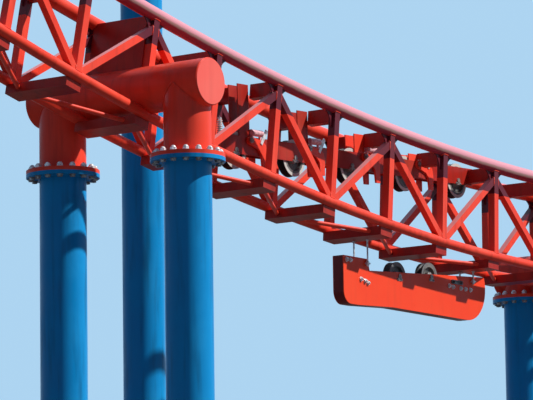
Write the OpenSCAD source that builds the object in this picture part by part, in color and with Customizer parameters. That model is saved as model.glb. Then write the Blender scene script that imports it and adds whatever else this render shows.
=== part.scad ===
// Launch coaster track section: a curved four-chord lattice truss on two tubular portals,
// with cable guide sheaves in the truss and a hung guide housing under it.
// X runs down the track, Z is up, and the viewer's near side is -Y.
// The origin is under the near column of portal 1, at the underside of its base plate.

/* [Track truss] */
// Spacing of the truss frames along its middle line
bay_l = 1385; // [1200:5:1600]
// Height of the truss between rail centre and lower chord centre
truss_h = 1345; // [1200:5:1500]
// Width of the truss between rail centres
truss_w = 985; // [950:5:1050]
// Outer diameter of a running rail
rail_d = 190; // [160:2:200]
// Outer diameter of a lower chord
chord_d = 140; // [110:2:150]
// Side of a square post
post_s = 110; // [90:2:120]
// Side of a square diagonal
diagonal_s = 96; // [80:2:100]
// Depth of a diagonal's upper end below the rail centre
diagonal_drop = 190; // [160:5:220]
// Radius of the vertical curve at the middle line
curve_r = 51800; // [45000:100:60000]
// Downhill slope of the truss at portal 1, in degrees
slope_1 = 11.5; // [9:0.1:13]
// Length of rail beyond the first and the last frame
rail_end_l = 300; // [250:5:400]

/* [Cross ties] */
// Height of a top tie
tie_h = 200; // [160:5:220]
// Width of a top tie along the track
tie_t = 110; // [90:2:120]
// Depth of a top tie's upper face below the rail centre
tie_drop = 25; // [15:1:35]
// Height of a bottom tie
low_tie_h = 125; // [100:5:150]
// Width of a bottom tie along the track
low_tie_t = 280; // [200:5:320]
// Diameter of a bottom plane brace
brace_d = 60; // [40:2:70]

/* [Rail gussets] */
// Length of a gusset along the rail, from the post's face
gusset_l = 260; // [200:5:320]
// Depth of a gusset below the rail centre
gusset_h = 300; // [240:5:360]
// Thickness of a gusset plate
gusset_t = 16; // [10:1:24]

/* [Portals] */
// Outer diameter of a column, its stub and the crosshead
column_d = 610; // [560:5:660]
// Distance between the two columns of a portal
column_gauge = 2030; // [1950:10:2200]
// Height of the bolted seam above the ground at portal 1
seam_z = 8500; // [7500:50:9500]
// Height of the crosshead's axis above the seam at portal 1
crosshead_rise = 950; // [900:5:1000]
// Height of the crosshead's axis above the seam at portal 2
crosshead_rise_2 = 375; // [365:5:500]
// Length of the crosshead beyond a column's axis
crosshead_over = 365; // [340:5:420]
// Height of the truss middle line above the crosshead's axis at portal 1
truss_rise = 345; // [325:5:365]
// Height of the truss middle line above the crosshead's axis at portal 2
truss_rise_2 = 510; // [490:5:530]
// Distance of portal 2 past its truss frame, down the track
portal_2_shift = 340; // [310:5:370]
// Sideways shift of the truss from the middle of the portals, to the far side
truss_shift = 84; // [60:1:110]
// Outer diameter of a column flange
flange_d = 955; // [900:5:1000]
// Thickness of one column flange
flange_t = 50; // [40:1:70]
// Diameter of the raised end disc on a crosshead
cap_d = 586; // [540:2:600]
// Thickness of the raised end disc
cap_t = 14; // [8:1:20]

/* [Feet] */
// Diameter of a base plate
base_d = 1100; // [1000:10:1300]
// Thickness of a base plate
base_t = 50; // [30:1:70]
// Bolt circle of the anchor holes
anchor_pcd = 900; // [860:5:960]
// Diameter of an anchor hole
anchor_hole_d = 42; // [30:1:50]
// Number of anchor holes in each base plate
anchor_count = 8; // [6:1:10]
// Height of a base rib
rib_h = 300; // [200:10:400]
// Thickness of a base rib
rib_t = 20; // [12:1:30]

/* [Tall column] */
// Place of the tall column along the track
tall_x = 4730; // [4400:10:5200]
// Distance of the tall column from the near columns, to the far side
tall_y = 4385; // [4000:10:4800]
// Height of the tall column
tall_z = 12400; // [12000:50:13000]

/* [Guide sheaves] */
// Outer diameter of an upper guide sheave
sheave_d = 510; // [460:5:530]
// Width of a sheave over its rim
sheave_w = 120; // [100:2:130]
// Diameter of a sheave axle
axle_d = 70; // [50:1:80]
// Radial running clearance of a sheave on its axle
axle_fit = 0.05; // [0.02:0.01:0.09]
// Gap between an upper sheave and each beam plate
side_gap = 8; // [6:1:12]
// Distance of each sheave uphill of its truss frame
sheave_shift = 300; // [280:5:330]
// Height of the first upper sheave's axle above the ground
sheave_z = 9027; // [9005:2:9055]
// Rise of the sheave line towards the downhill end, in degrees
sheave_rise = 2.4; // [1.5:0.1:2.8]

/* [Sheave beam] */
// Thickness of a beam plate
beam_t = 15; // [10:1:20]
// Depth of a beam plate below the axles
beam_low = 50; // [45:1:70]
// Height of a beam plate above the axles
beam_high = 200; // [150:5:220]
// Length of the beam beyond its end sheaves
beam_end = 400; // [300:10:450]
// Width of the ears that hang the beam from the top ties
ear_w = 240; // [200:5:300]
// Thickness of a lever beside the beam
lever_t = 30; // [20:1:40]
// Diameter of a lever's cylinder
cylinder_d = 90; // [60:2:110]
// Width of a flat bar on a lever
bar_w = 50; // [30:2:60]
// Length of a flat bar on a lever
bar_l = 240; // [180:10:260]

/* [Guide housing] */
// Uphill end of the housing along the track
housing_x = 4910; // [4870:5:4950]
// Height of the housing's underside above the ground at its uphill end
housing_z = 7185; // [7165:5:7205]
// Length of the housing
housing_l = 3695; // [3660:5:3760]
// Height of the housing's raised uphill end
housing_end_h = 670; // [650:5:690]
// Length of the raised uphill end
housing_end_l = 600; // [560:5:640]
// Height of the housing just past its raised end
housing_low_h = 510; // [500:5:540]
// Radius of the housing's round downhill end
housing_nose_r = 500; // [480:5:510]
// Rise of the housing's underside at its middle
housing_rise = 40; // [20:5:60]
// Outer width of the housing
housing_w = 180; // [170:2:200]
// Thickness of the housing's plates
housing_t = 10; // [8:1:14]
// Outer diameter of a lower guide sheave
low_sheave_d = 420; // [380:5:440]
// Diameter of a hanger rod
hanger_d = 24; // [16:1:30]

/* [Hidden] */

red = [0.86, 0.20, 0.13];
dark_red = [0.62, 0.14, 0.11];
blue = [0.05, 0.40, 0.66];
zinc = [0.72, 0.74, 0.75];
dark_grey = [0.24, 0.26, 0.28];

first_frame = -1;
last_frame = 11;
portal_1_frame = 1;
portal_2_frame = 9;
first_sheave = 3;
last_sheave = 7;
weld_gap = 1.2;
stub_low = 5;
gusset_lip = 12;
gusset_throat = 30;
low_tie_drop = 60;
saddle_t = 20;
saddle_drop = 60;
splice_t = 30;
splice_hole_d = 26;
splice_margin = 150;
arc_fn = 1440;
pipe_fn = 96;
hole_fn = 32;

bay_angle = bay_l / curve_r * 180 / PI;
end_angle = rail_end_l / curve_r * 180 / PI;
crosshead_z = seam_z + crosshead_rise;
middle_z = crosshead_z + truss_rise;
truss_y = column_gauge / 2 + truss_shift;
centre_x = curve_r * sin(slope_1);
centre_z = middle_z + curve_r * cos(slope_1);
rail_r = curve_r - truss_h / 2;
chord_r = curve_r + truss_h / 2;
beam_y = sheave_w / 2 + side_gap;
tie_half = (truss_w - post_s) / 2;
low_tie_z = -truss_h / 2 - low_tie_drop - low_tie_h;

// Slope of the track at a frame, and the place of a point h above the middle line there
function slope(k) = slope_1 - (k - portal_1_frame) * bay_angle;
function frame_x(k, h = 0) = centre_x - (curve_r - h) * sin(slope(k));
function frame_z(k, h = 0) = centre_z - (curve_r - h) * cos(slope(k));
function portal_x(k) = frame_x(k) + (k == portal_1_frame ? 0 : portal_2_shift);
function side_y(side) = truss_y + side * truss_w / 2;
function portal_crosshead_z(k) = frame_z(k) - (k == portal_1_frame ? truss_rise : truss_rise_2);
function portal_rise(k) = k == portal_1_frame ? crosshead_rise : crosshead_rise_2;
function portal_seam_z(k) = portal_crosshead_z(k) - portal_rise(k);

// Puts its children in a frame of the truss: x along the track, y across, z square to the track
module at_frame(k) {
    translate([frame_x(k), truss_y, frame_z(k)]) rotate([0, slope(k), 0]) children();
}

// A pipe that follows the vertical curve
module curved_pipe(path_r, d, side) {
    sweep = slope(first_frame) - slope(last_frame) + 2 * end_angle;
    translate([centre_x, side_y(side), centre_z])
        rotate([90, 0, 0])
            rotate([0, 0, 270 - slope(first_frame) - end_angle])
                rotate_extrude(angle = sweep, $fn = arc_fn)
                    translate([path_r, 0]) circle(d = d, $fn = pipe_fn);
}

// The straight stretches of rail and lower chord at a frame, which trim what meets them there
module rail_at(k, side) {
    at_frame(k) translate([0, side * truss_w / 2, truss_h / 2]) rotate([0, 90, 0])
        cylinder(d = rail_d, h = bay_l / 2, center = true, $fn = pipe_fn);
}

module chord_at(k, side) {
    at_frame(k) translate([0, side * truss_w / 2, -truss_h / 2]) rotate([0, 90, 0])
        cylinder(d = chord_d + weld_gap, h = bay_l / 2, center = true, $fn = pipe_fn);
}

// Height above the middle line where the diagonals meet a post, low at each even frame
function node_h(k) = k % 2 == 0 ? -truss_h / 2 : truss_h / 2 - diagonal_drop;

// The square diagonal from frame k to the next, made deeper on its lower side
// where it trims another piece
module diagonal(k, side, deeper = 0) {
    dx = frame_x(k + 1, node_h(k + 1)) - frame_x(k, node_h(k));
    dz = frame_z(k + 1, node_h(k + 1)) - frame_z(k, node_h(k));
    translate([frame_x(k, node_h(k)), side_y(side), frame_z(k, node_h(k))])
        rotate([0, -atan2(dz, dx), 0])
        translate([0, -diagonal_s / 2, -diagonal_s / 2 - deeper])
            cube([norm([dx, dz]), diagonal_s, diagonal_s + deeper]);
}

module crosshead_pipe(k) {
    translate([portal_x(k), column_gauge / 2, portal_crosshead_z(k)]) rotate([90, 0, 0])
        cylinder(d = column_d, h = column_gauge + 2 * crosshead_over, center = true, $fn = 96);
}

module portal_crossheads() {
    for (k = [portal_1_frame, portal_2_frame]) crosshead_pipe(k);
}

// The upright pipe of a stub, from the seam up to just below the crosshead's axis
module stub_pipe(k, side) {
    translate([portal_x(k), column_gauge / 2 * (1 + side), portal_seam_z(k)])
        cylinder(d = column_d, h = portal_rise(k) - stub_low, $fn = 96);
}

module web(side) {
    color(red) difference() {
        union() {
            for (k = [first_frame : last_frame]) {
                foot_h = k == portal_1_frame ? truss_rise : truss_h / 2;
                at_frame(k) translate([-post_s / 2, side * truss_w / 2 - post_s / 2, -foot_h])
                    cube([post_s, post_s, foot_h + truss_h / 2]);
            }
            for (k = [first_frame : last_frame - 1]) diagonal(k, side);
        }
        for (k = [first_frame : last_frame]) {
            rail_at(k, side);
            chord_at(k, side);
        }
        portal_crossheads();
    }
}

module rail(side) {
    color(red) curved_pipe(rail_r, rail_d, side);
}

module lower_chord(side) {
    color(red) difference() {
        curved_pipe(chord_r, chord_d, side);
        portal_crossheads();
    }
}

// Plates with a hollow curved edge under the rail, on both sides of each post
module rail_gussets(side) {
    color(red) difference() {
        for (k = [first_frame : last_frame], along = [-1, 1])
            if ((k > first_frame || along > 0) && (k < last_frame || along < 0))
                at_frame(k) translate([along * post_s / 2, side * truss_w / 2, truss_h / 2])
                    rotate([90, 0, 0]) linear_extrude(gusset_t, center = true) difference() {
                        polygon([[0, 0], [along * gusset_l, 0], [along * gusset_l, -rail_d / 2 - gusset_lip],
                            [along * gusset_lip, -gusset_h], [0, -gusset_h]]);
                        translate([along * gusset_l, -gusset_h]) circle(r = gusset_l - gusset_throat, $fn = 64);
                    }
        for (k = [first_frame : last_frame]) rail_at(k, side);
        for (k = [first_frame : last_frame - 1]) diagonal(k, side, gusset_h);
    }
}

module top_ties() {
    color(dark_red) difference() {
        for (k = [first_frame : last_frame])
            at_frame(k) translate([-tie_t / 2, -tie_half, truss_h / 2 - tie_drop - tie_h])
                difference() {
                    cube([tie_t, 2 * tie_half, tie_h]);
                    if (k >= first_sheave && k <= last_sheave)
                        translate([-1, tie_half - beam_y - beam_t, -1])
                            cube([tie_t + 2, 2 * (beam_y + beam_t), tie_h + 2]);
                }
        for (k = [first_frame : last_frame], side = [-1, 1]) rail_at(k, side);
        for (k = [first_sheave : last_sheave]) upper_axle(k, 10);
        for (k = [first_sheave : last_sheave - 1]) lever_room(k);
    }
}

module low_tie(k) {
    at_frame(k) translate([-low_tie_t / 2, -truss_w / 2, low_tie_z])
        cube([low_tie_t, truss_w, low_tie_h]);
}

module bottom_ties() {
    color(dark_red) difference() {
        for (k = [first_frame : last_frame]) low_tie(k);
        for (k = [first_frame : last_frame], side = [-1, 1]) chord_at(k, side);
        portal_crossheads();
        for (k = [portal_1_frame, portal_2_frame], side = [-1, 1]) {
            stub_pipe(k, side);
            translate([portal_x(k), column_gauge / 2 * (1 + side), portal_seam_z(k)])
                cylinder(d = flange_d, h = 10 * flange_t, center = true, $fn = 96);
        }
    }
}

// Round braces that run from side to side between the bottom ties
module bottom_bracing() {
    h = low_tie_z + low_tie_h / 2;
    color(red) for (k = [first_frame : last_frame - 1]) {
        y1 = (k % 2 == 0 ? 1 : -1) * (truss_w / 2 - chord_d / 2 - brace_d);
        dx = frame_x(k + 1, h) - frame_x(k, h);
        dz = frame_z(k + 1, h) - frame_z(k, h);
        run = norm([dx, dz]);
        difference() {
            translate([frame_x(k, h), truss_y + y1, frame_z(k, h)])
                rotate([0, -atan2(dz, dx), 0]) rotate([0, 0, atan2(-2 * y1, run)]) rotate([0, 90, 0])
                    cylinder(d = brace_d, h = norm([run, 2 * y1]), $fn = 32);
            low_tie(k);
            low_tie(k + 1);
            portal_crossheads();
        }
    }
}

// A bolted splice flange closes each of the eight rail and chord ends
module splice_flange(d, pipe) {
    rotate([0, 90, 0]) difference() {
        cylinder(d = d, h = splice_t, $fn = 96);
        for (i = [0 : 3]) rotate([0, 0, 45 + i * 90]) translate([(d + pipe) / 4, 0, -1])
            cylinder(d = splice_hole_d, h = splice_t + 2, $fn = hole_fn);
    }
}

module splice_flanges() {
    color(red) for (end = [-1, 1], side = [-1, 1], low = [0, 1]) {
        ang = end < 0 ? slope(first_frame) + end_angle : slope(last_frame) - end_angle;
        r = low == 1 ? chord_r : rail_r;
        pipe = low == 1 ? chord_d : rail_d;
        translate([centre_x, side_y(side), centre_z]) rotate([0, ang, 0])
            translate([end < 0 ? -splice_t : 0, 0, -r]) splice_flange(pipe + splice_margin, pipe);
    }
}

// The crosshead runs through the truss, and rests in the notched lower chords
module crosshead(k) {
    color(red) crosshead_pipe(k);
}

module crosshead_caps() {
    reach = column_gauge / 2 + crosshead_over + cap_t / 2;
    color(red) for (k = [portal_1_frame, portal_2_frame], side = [-1, 1])
        translate([portal_x(k), column_gauge / 2 + side * reach, portal_crosshead_z(k)])
            rotate([90, 0, 0]) cylinder(d = cap_d, h = cap_t, center = true, $fn = 96);
}

// Web plates on both faces of the top tie at portal 1, down to the crosshead
module saddle() {
    k = portal_1_frame;
    color(dark_red) difference() {
        at_frame(k) for (along = [-1, 1])
            translate([along * (tie_t + saddle_t) / 2 - saddle_t / 2, -tie_half, -truss_h / 2 + chord_d])
                cube([saddle_t, 2 * tie_half, truss_h - chord_d - tie_drop - saddle_drop]);
        crosshead_pipe(k);
        for (side = [-1, 1]) rail_at(k, side);
        translate([portal_x(k), truss_y, portal_crosshead_z(k) - column_d])
            cube([2 * column_d, 2 * truss_w, 2 * column_d], center = true);
    }
}

module stub(k, side) {
    color(red) difference() {
        union() {
            stub_pipe(k, side);
            translate([portal_x(k), column_gauge / 2 * (1 + side), portal_seam_z(k)])
                cylinder(d = flange_d, h = flange_t, $fn = 96);
        }
        crosshead_pipe(k);
    }
}

// A blue pipe column from its base plate up to its flange
module column_pipe(top_z) {
    color(blue) {
        translate([0, 0, base_t]) cylinder(d = column_d, h = top_z - base_t, $fn = 96);
        translate([0, 0, top_z - flange_t]) cylinder(d = flange_d, h = flange_t, $fn = 96);
    }
}

module column(k, side) {
    translate([portal_x(k), column_gauge / 2 * (1 + side), 0]) column_pipe(portal_seam_z(k));
}

module foot() {
    color(blue) difference() {
        union() {
            cylinder(d = base_d, h = base_t, $fn = 96);
            for (i = [0 : anchor_count - 1]) rotate([0, 0, i * 360 / anchor_count])
                rotate([90, 0, 0]) linear_extrude(rib_t, center = true)
                    polygon([[column_d / 2 - rib_t, base_t / 2], [base_d / 2 - rib_t, base_t / 2],
                        [base_d / 2 - rib_t, base_t + 2 * rib_t], [column_d / 2 + 2 * rib_t, base_t + rib_h],
                        [column_d / 2 - rib_t, base_t + rib_h]]);
        }
        translate([0, 0, base_t]) cylinder(d = column_d, h = 2 * rib_h, $fn = 96);
        for (i = [0 : anchor_count - 1]) rotate([0, 0, (i + 0.5) * 360 / anchor_count])
            translate([anchor_pcd / 2, 0, -1]) cylinder(d = anchor_hole_d, h = base_t + 2, $fn = hole_fn);
    }
}

module feet() {
    for (k = [portal_1_frame, portal_2_frame], side = [-1, 1])
        translate([portal_x(k), column_gauge / 2 * (1 + side), 0]) foot();
    translate([tall_x, tall_y, 0]) foot();
}

module tall_column() {
    translate([tall_x, tall_y, 0]) column_pipe(tall_z);
}

// Upper guide sheaves: one just uphill of each frame from first_sheave to last_sheave,
// on a straight line that rises downhill
function sheave_x(k) = frame_x(k) - sheave_shift;
function sheave_axle_z(k) = sheave_z + (sheave_x(k) - sheave_x(first_sheave)) * tan(sheave_rise);

// Puts its children at a sheave's axle, with x along the sheave line and z across the track
module at_axle(k, y = 0) {
    translate([sheave_x(k), truss_y + y, sheave_axle_z(k)]) rotate([90, -sheave_rise, 0]) children();
}

module sheave(d, w) {
    rim = d * 0.075;
    color(dark_grey) rotate([90, 0, 0]) rotate_extrude($fn = 96)
        polygon([[axle_d / 2 + axle_fit, -w / 2], [axle_d + 8, -w / 2], [axle_d + 8, -w / 6],
            [d / 2 - 2.2 * rim, -w / 6], [d / 2 - 2 * rim, -w / 2], [d / 2, -w / 2], [d / 2, -w / 3],
            [d / 2 - rim, -w / 9], [d / 2 - rim, w / 9], [d / 2, w / 3], [d / 2, w / 2],
            [d / 2 - 2 * rim, w / 2], [d / 2 - 2.2 * rim, w / 6], [axle_d + 8, w / 6],
            [axle_d + 8, w / 2], [axle_d / 2 + axle_fit, w / 2]]);
}

module upper_sheave(k) {
    translate([sheave_x(k), truss_y, sheave_axle_z(k)]) sheave(sheave_d, sheave_w);
}

// Two long plates carry the axles between them, and their ears reach up to the cut top ties
module sheave_beam() {
    span = sheave_x(last_sheave) - sheave_x(first_sheave);
    color(dark_red) for (s = [-1, 1]) difference() {
        at_axle(first_sheave, s * (beam_y + beam_t / 2)) linear_extrude(beam_t, center = true)
            union() {
                translate([-beam_end, -beam_low]) square([span + 2 * beam_end, beam_low + beam_high]);
                for (k = [first_sheave : last_sheave - 1]) {
                    along = (sheave_x(k) - sheave_x(first_sheave)) / cos(sheave_rise);
                    top = frame_z(k, truss_h / 2 - tie_drop) - sheave_axle_z(k) - 20;
                    translate([along + ear_end - ear_w, 0]) square([ear_w, top]);
                }
            }
        for (k = [first_sheave : last_sheave]) upper_axle(k);
        for (k = [first_sheave : last_sheave - 1]) lever_pin(k);
    }
}

module upper_axle(k, gap = 0) {
    translate([sheave_x(k), truss_y, sheave_axle_z(k)]) rotate([90, 0, 0])
        cylinder(d = axle_d + 2 * gap, h = 2 * (beam_y + beam_t + gap) + 30, center = true, $fn = 64);
}

module sheave_axles() {
    color(zinc) {
        for (k = [first_sheave : last_sheave]) upper_axle(k);
        for (k = [first_sheave : last_sheave - 1]) lever_pin(k);
        for (i = [0, 1]) low_axle(i, housing_w + 30);
    }
}

// Bent levers on both sides of the beam, each pair on a pin between two sheaves,
// with a cylinder along its back and a flat bar on its bend
lever_x = 300;
lever_z = 150;
lever_pin_d = 50;
bar_t = 12;
ear_end = 325;
lever_eye_d = 110;
lever_back = [[580, 160], [650, 110]];
lever_front = [[670, 20], [660, -200], [560, -200], [540, -20], [480, 40]];
bar_foot = [-30, -60];
bar_tilt = 55;
cylinder_l = 240;
cylinder_x = 330;
cylinder_z = lever_z + lever_eye_d / 2 + cylinder_d / 2 + 10;
lever_gap = 20;

module lever_pin(k) {
    at_axle(k) translate([lever_x, lever_z, 0])
        cylinder(d = lever_pin_d, h = 2 * (beam_y + beam_t + lever_t) + 30, center = true, $fn = 48);
}

// The room that a pair of levers and their cylinders takes up, which the top ties leave free
module lever_room(k) {
    eye_left = lever_x - lever_eye_d / 2 - lever_gap;
    eye_top = lever_z + lever_eye_d / 2 + lever_gap;
    left = cylinder_x - lever_gap;
    right = lever_front[0].x + lever_gap;
    top = cylinder_z + cylinder_d / 2 + lever_gap;
    half_w = beam_y + beam_t + (lever_t + cylinder_d) / 2 + lever_gap;
    at_axle(k) linear_extrude(2 * half_w, center = true)
        polygon([[eye_left, 0], [eye_left, eye_top], [left, eye_top], [left, top], [right, top], [right, 0]]);
}

module lever_outline() {
    difference() {
        union() {
            translate([lever_x, lever_z]) circle(d = lever_eye_d, $fn = 48);
            polygon(concat([[lever_x, lever_z + lever_eye_d / 2]], lever_back, lever_front,
                [[lever_x, lever_z - lever_eye_d / 2]]));
        }
        translate([lever_x, lever_z]) circle(d = lever_pin_d, $fn = 48);
    }
}

module at_levers() {
    for (k = [first_sheave : last_sheave - 1], s = [-1, 1])
        at_axle(k, s * (beam_y + beam_t + lever_t / 2)) children();
}

module sheave_levers() {
    color(red) at_levers() linear_extrude(lever_t, center = true) lever_outline();
}

// Each cylinder stands on two feet that follow the lever's back
module lever_cylinders() {
    color(red) at_levers() {
        translate([cylinder_x, cylinder_z, 0]) rotate([0, 90, 0]) cylinder(d = cylinder_d, h = cylinder_l, $fn = 48);
        linear_extrude(lever_t, center = true) difference() {
            for (x = [cylinder_x + 20, cylinder_x + cylinder_l - 50])
                translate([x, lever_z]) square([30, cylinder_z - lever_z]);
            polygon(concat([[lever_x, lever_z], [lever_x, lever_z + lever_eye_d / 2]], lever_back,
                [[lever_back[1].x, lever_z - lever_eye_d]]));
        }
    }
}

module lever_bars() {
    color(zinc) for (k = [first_sheave : last_sheave - 1], s = [-1, 1])
        at_axle(k, s * (beam_y + beam_t + lever_t + bar_t / 2)) linear_extrude(bar_t, center = true)
            translate(lever_back[0] + bar_foot) rotate([0, 0, bar_tilt]) square([bar_l, bar_w]);
}

// Hung guide housing: two side plates on a rim plate, open along the top
low_sheave_x = [housing_x + 1410, housing_x + 2240];
low_sheave_z = [housing_z + 500, housing_z + 570];
corner_r = 180;
nose_end = 20;
lug_l = 70;
lug_w = 50;
lug_t = 20;
lug_drop = 60;

function arc(x, z, r, from, to) = [for (i = [0 : 12]) let (a = from + (to - from) * i / 12)
    [x + r * cos(a), z + r * sin(a)]];
nose_x = housing_l - housing_nose_r;
nose_z = housing_nose_r + 25;
function housing_bottom(inset) = concat(
    arc(corner_r, corner_r, corner_r - inset, 180, 270),
    [[2 * corner_r, inset], [housing_l / 3, housing_rise + inset]],
    arc(nose_x, nose_z, housing_nose_r - inset, -90, nose_end));

module at_housing(y) {
    translate([housing_x, truss_y + y, housing_z]) rotate([90, 0, 0]) children();
}

module housing_outline() {
    polygon(concat(housing_bottom(0), [[housing_end_l + 50, housing_low_h],
        [housing_end_l, housing_end_h], [0, housing_end_h]]));
}

module low_axle(i, l) {
    translate([low_sheave_x[i], truss_y, low_sheave_z[i]]) rotate([90, 0, 0])
        cylinder(d = axle_d, h = l, center = true, $fn = 64);
}

module housing_plate(side) {
    color(red) difference() {
        at_housing(side * (housing_w - housing_t) / 2) linear_extrude(housing_t, center = true)
            housing_outline();
        for (i = [0, 1]) low_axle(i, 2 * housing_w);
    }
}

module housing_rim() {
    color(dark_red) at_housing(0) linear_extrude(housing_w - 2 * housing_t, center = true) difference() {
        housing_outline();
        polygon(concat(housing_bottom(housing_t), [[nose_x, 3 * housing_end_h], [housing_t, 3 * housing_end_h]]));
    }
}

module low_sheave(i) {
    translate([low_sheave_x[i], truss_y, low_sheave_z[i]]) sheave(low_sheave_d, sheave_w);
}

// Rods from two bottom ties down to lugs on the housing's sides
module housing_hangers() {
    lug_z = housing_z + housing_end_h - lug_drop;
    color(zinc) difference() {
        for (k = [5, 7], s = [-1, 1]) translate([frame_x(k), truss_y + s * (housing_w + lug_w) / 2, lug_z]) {
            translate([-lug_l / 2, -lug_w / 2, -lug_t]) cube([lug_l, lug_w, lug_t]);
            translate([0, 0, -lug_t - hanger_d])
                cylinder(d = hanger_d, h = frame_z(k, low_tie_z) - lug_z + lug_t + 2 * hanger_d, $fn = 32);
        }
        for (k = [5, 7]) low_tie(k);
    }
}

rail(-1);  // near_rail
rail(1);  // far_rail
lower_chord(-1);  // near_lower_chord
lower_chord(1);  // far_lower_chord
web(-1);  // near_web
web(1);  // far_web
rail_gussets(-1);  // near_rail_gussets
rail_gussets(1);  // far_rail_gussets
top_ties();
bottom_ties();
bottom_bracing();
splice_flanges();
crosshead(portal_1_frame);  // crosshead_1
crosshead(portal_2_frame);  // crosshead_2
crosshead_caps();
saddle();
stub(portal_1_frame, -1);  // near_stub_1
stub(portal_1_frame, 1);  // far_stub_1
stub(portal_2_frame, -1);  // near_stub_2
stub(portal_2_frame, 1);  // far_stub_2
column(portal_1_frame, -1);  // near_column_1
column(portal_1_frame, 1);  // far_column_1
column(portal_2_frame, -1);  // near_column_2
column(portal_2_frame, 1);  // far_column_2
tall_column();
feet();
sheave_beam();
sheave_axles();
sheave_levers();
lever_cylinders();
lever_bars();
upper_sheave(3);  // sheave_3
upper_sheave(4);  // sheave_4
upper_sheave(5);  // sheave_5
upper_sheave(6);  // sheave_6
upper_sheave(7);  // sheave_7
housing_plate(-1);  // housing_near_plate
housing_plate(1);  // housing_far_plate
housing_rim();
housing_hangers();
low_sheave(0);  // low_sheave_1
low_sheave(1);  // low_sheave_2
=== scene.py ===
import math

import bmesh
import bpy
from mathutils import Matrix, Vector


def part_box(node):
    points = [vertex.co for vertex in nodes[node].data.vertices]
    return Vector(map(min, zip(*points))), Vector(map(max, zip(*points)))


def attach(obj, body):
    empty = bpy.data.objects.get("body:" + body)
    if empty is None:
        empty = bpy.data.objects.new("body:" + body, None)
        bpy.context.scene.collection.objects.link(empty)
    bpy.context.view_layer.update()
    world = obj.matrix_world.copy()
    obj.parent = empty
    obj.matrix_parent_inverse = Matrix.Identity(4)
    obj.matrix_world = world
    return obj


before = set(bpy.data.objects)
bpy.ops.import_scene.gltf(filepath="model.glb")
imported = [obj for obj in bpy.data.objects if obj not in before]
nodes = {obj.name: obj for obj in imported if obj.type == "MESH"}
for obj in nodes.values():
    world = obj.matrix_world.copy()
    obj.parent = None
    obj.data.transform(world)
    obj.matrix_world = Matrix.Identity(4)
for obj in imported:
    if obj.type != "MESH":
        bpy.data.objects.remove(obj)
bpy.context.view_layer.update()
scene = bpy.context.scene
print("frame:", len(nodes), "nodes")

# the track's own sizes, in metres and degrees
track = {
    "bay": 1.385,
    "height": 1.345,
    "width": 0.985,
    "curve": 51.8,  # radius of the middle line
    "slope": 11.5,  # at frame 1
    "middle": 9.795,  # height of the middle line at frame 1
    "side": 1.099,  # where that line lies across the track
    "rail": 0.19,
    "chord": 0.14,
    "post": 0.11,
    "diagonal": 0.096,
    "diagonalDrop": 0.19,  # from a rail's centre down to the upper end of a diagonal
    "first": -1,
    "last": 11,
}
curveCentre = Vector((
    track["curve"] * math.sin(math.radians(track["slope"])),
    track["side"],
    track["middle"] + track["curve"] * math.cos(math.radians(track["slope"])),
))


def frameTurn(k):
    return math.radians(track["slope"]) - (k - 1) * track["bay"] / track["curve"]


def framePoint(k, along=0.0, across=0.0, up=0.0):
    # a point beside truss frame k, from the middle line
    turn = frameTurn(k)
    radius = track["curve"] - up
    x = curveCentre.x - radius * math.sin(turn) + along * math.cos(turn)
    z = curveCentre.z - radius * math.cos(turn) - along * math.sin(turn)
    return Vector((x, track["side"] + across, z))


def middleOf(node):
    low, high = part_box(node)
    return (low + high) / 2


def topOf(node):
    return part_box(node)[1].z


def onAxis(node, height):
    middle = middleOf(node)
    return Vector((middle.x, middle.y, height))


# short ways to add nodes to a tree
def addNode(tree, kind, sockets=None, **settings):
    made = tree.nodes.new(kind)
    for name, value in settings.items():
        setattr(made, name, value)
    for name, value in (sockets or {}).items():
        if isinstance(value, bpy.types.NodeSocket):
            tree.links.new(value, made.inputs[name])
        else:
            made.inputs[name].default_value = value
    return made


def startGroup(name, kind, takes, gives):
    tree = bpy.data.node_groups.new(name, kind)
    for label, socketType, value in takes:
        socket = tree.interface.new_socket(label, in_out="INPUT", socket_type=socketType)
        if value is not None:
            socket.default_value = value
    for label, socketType in gives:
        tree.interface.new_socket(label, in_out="OUTPUT", socket_type=socketType)
    return tree, tree.nodes.new("NodeGroupInput").outputs, tree.nodes.new("NodeGroupOutput").inputs


def useGroup(tree, group, sockets):
    return addNode(tree, "ShaderNodeGroup", sockets, node_tree=group).outputs


def ramp(tree, value, low, high, top=1.0, bottom=0.0):
    return addNode(tree, "ShaderNodeMapRange", {
        "Value": value, "From Min": low, "From Max": high, "To Min": bottom, "To Max": top,
    }, interpolation_type="SMOOTHSTEP").outputs["Result"]


def mixColours(tree, share, first, second):
    return addNode(tree, "ShaderNodeMix", {0: share, 6: first, 7: second}, data_type="RGBA").outputs[2]


def calc(tree, operation, first, second=0.0):
    return addNode(tree, "ShaderNodeMath", {0: first, 1: second}, operation=operation).outputs[0]


def times(tree, first, second):
    return calc(tree, "MULTIPLY", first, second)


def vectorCalc(tree, operation, first, second=(0.0, 0.0, 0.0)):
    return addNode(tree, "ShaderNodeVectorMath", {0: first, 1: second}, operation=operation).outputs


def noise(tree, place, scale, detail, roughness=0.5):
    return addNode(tree, "ShaderNodeTexNoise", {
        "Vector": place, "Scale": scale, "Detail": detail, "Roughness": roughness,
    }).outputs[0]


def separated(tree, vector, axis):
    return addNode(tree, "ShaderNodeSeparateXYZ", {0: vector}).outputs[axis]


def combined(tree, **parts):
    return addNode(tree, "ShaderNodeCombineXYZ", parts).outputs[0]


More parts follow.
